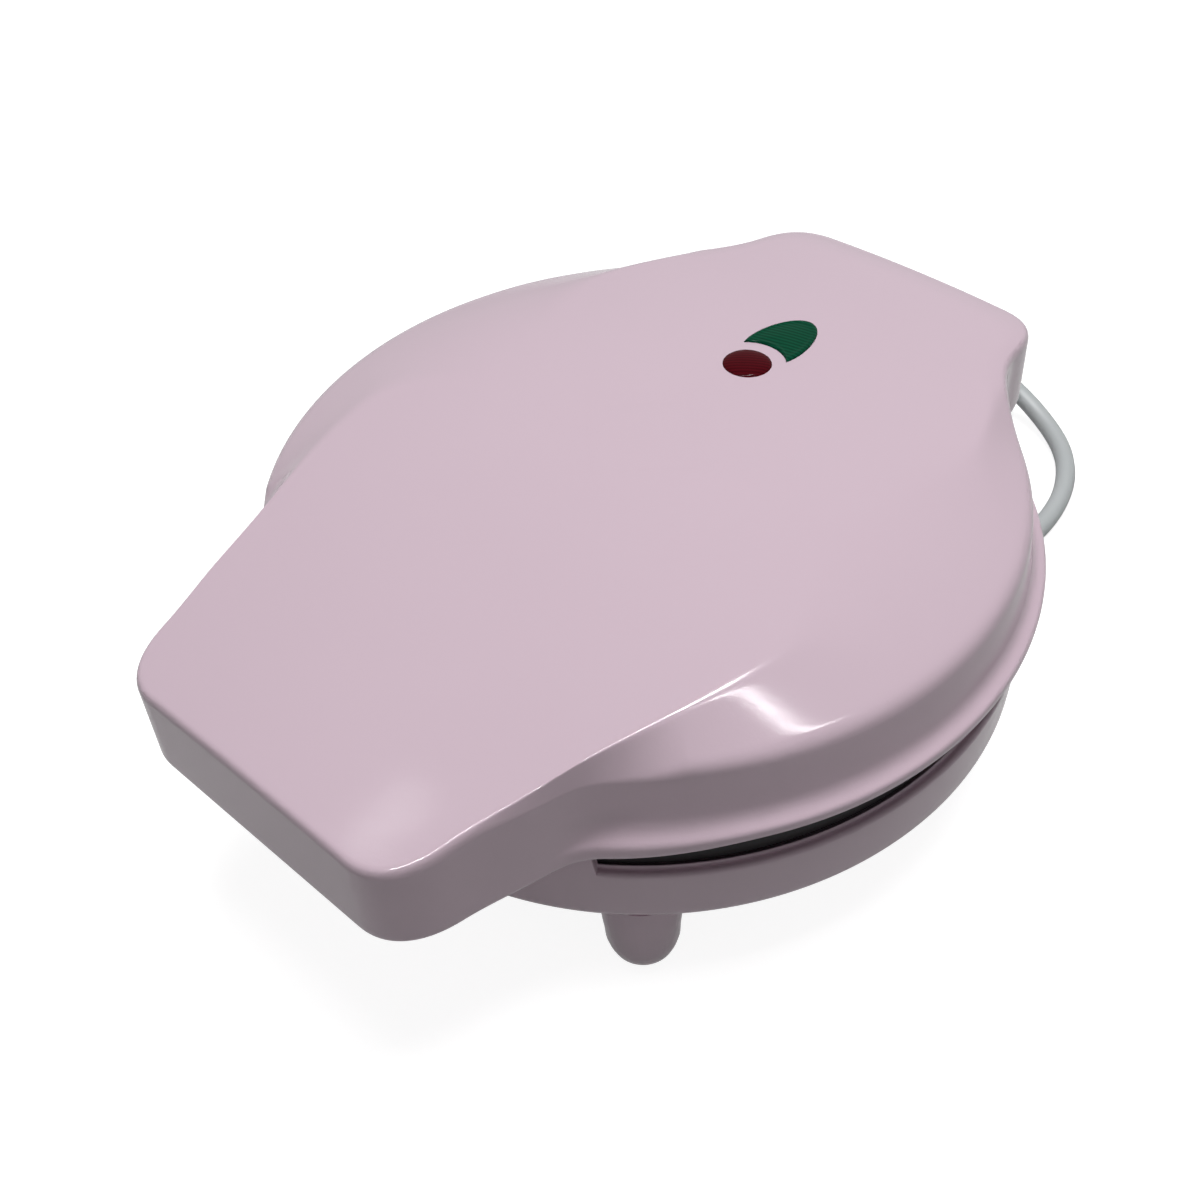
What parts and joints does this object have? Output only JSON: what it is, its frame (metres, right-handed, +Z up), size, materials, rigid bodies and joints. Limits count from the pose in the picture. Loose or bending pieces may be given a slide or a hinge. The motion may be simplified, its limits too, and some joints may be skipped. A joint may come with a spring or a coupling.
{
  "type": "heart waffle maker",
  "caption": "Round countertop waffle maker with a hinged domed lid, a long handle, two signal lamps and heart-shaped cooking plates.",
  "frame": {"origin": "on the surface it stands on, under the middle of the length from handle to hinge and of the width, without the lead", "axes": "+Z up, -Y towards the handle, +X to the right seen from the handle"},
  "size_m": [0.2667, 0.3652, 0.1049],
  "materials": {
    "pink_plastic": "high gloss moulded plastic, pastel pink",
    "nonstick_plate": "cast aluminium with a satin black non-stick coating",
    "red_lens": "clear red lamp lens",
    "green_lens": "clear green lamp lens",
    "inner_plastic": "matt off-white heat-resistant plastic",
    "lamp_glass": "small glass lamp",
    "foot_rubber": "matt grey rubber",
    "cord_plastic": "satin white PVC",
    "tie_plastic": "matt black strap",
    "plug_metal": "nickel-plated brass",
    "steel": "plain steel",
    "element_metal": "dark stainless heating tube"
  },
  "bodies": {
    "base": {"base_shell": "pink_plastic", "lower_plate": "nonstick_plate", "lower_heating_element": "element_metal", "lower_heat_shield": "steel", "lower_shield_screw": "steel", "lower_plate_screw_1": "steel", "lower_plate_screw_2": "steel", "lower_plate_screw_3": "steel", "lower_plate_screw_4": "steel", "lower_plate_screw_5": "steel", "thermal_cut_out": "steel", "terminal_block": "inner_plastic", "hinge_pin_left": "steel", "hinge_pin_right": "steel", "foot_pad_1": "foot_rubber", "foot_pad_2": "foot_rubber", "foot_pad_3": "foot_rubber", "foot_pad_4": "foot_rubber", "strain_relief": "cord_plastic", "cord": "cord_plastic", "cord_coil": "cord_plastic", "coil_tie": "tie_plastic", "cord_tail": "cord_plastic", "plug_body": "cord_plastic", "plug_pin_1": "plug_metal", "plug_pin_2": "plug_metal"},
    "lid": {"lid_shell": "pink_plastic", "upper_plate": "nonstick_plate", "upper_heating_element": "element_metal", "upper_heat_shield": "steel", "upper_shield_screw": "steel", "upper_plate_screw_1": "steel", "upper_plate_screw_2": "steel", "upper_plate_screw_3": "steel", "upper_plate_screw_4": "steel", "upper_plate_screw_5": "steel", "thermostat": "steel", "red_lens": "red_lens", "green_lens": "green_lens", "lamp_holder": "inner_plastic", "red_lamp": "lamp_glass", "green_lamp": "lamp_glass"}
  },
  "joints": [
    {"name": "lid_hinge", "type": "hinge", "parent": "base", "child": "lid", "pos_m": [0, 0.13815, 0.062], "axis": [-1, 0, 0], "range_deg": [0, 95]}
  ]
}
